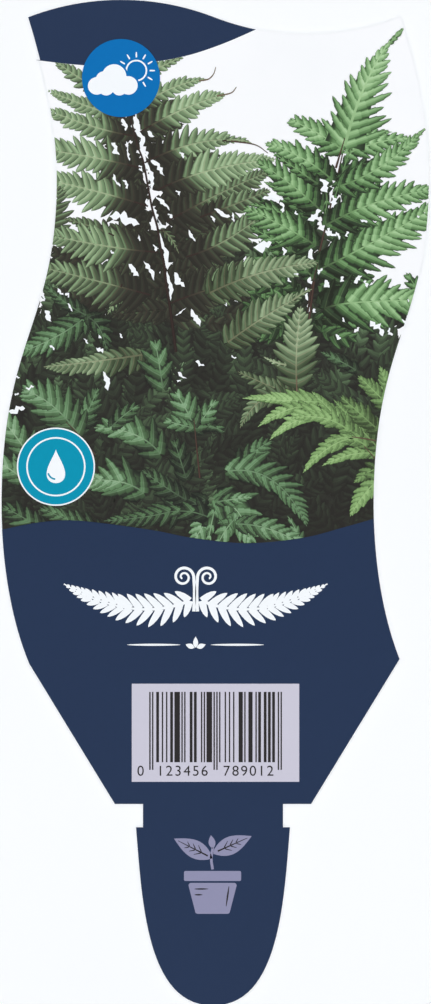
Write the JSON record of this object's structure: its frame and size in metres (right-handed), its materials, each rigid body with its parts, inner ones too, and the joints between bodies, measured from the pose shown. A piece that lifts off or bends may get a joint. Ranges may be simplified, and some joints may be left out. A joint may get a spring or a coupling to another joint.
{
  "type": "stick-in plant label",
  "caption": "Flat die-cut plastic plant label: a wavy-edged panel printed with ferns over a dark blue field, tapering to a notched neck and a round-ended stake for the soil.",
  "frame": {"origin": "on the back face, under the middle of the label's bounding box", "axes": "+X across the panel to the right as the print reads, +Y towards the panel's top edge, +Z out of the printed face"},
  "size_m": [0.0808, 0.19, 0.0005],
  "materials": {
    "white_plastic": "satin",
    "navy_ink": "satin",
    "blue_ink": "satin",
    "teal_ink": "satin",
    "lavender_ink": "satin",
    "black_ink": "satin",
    "fern_inks": "satin"
  },
  "bodies": {
    "root": {"label": "white_plastic"}
  },
  "joints": []
}
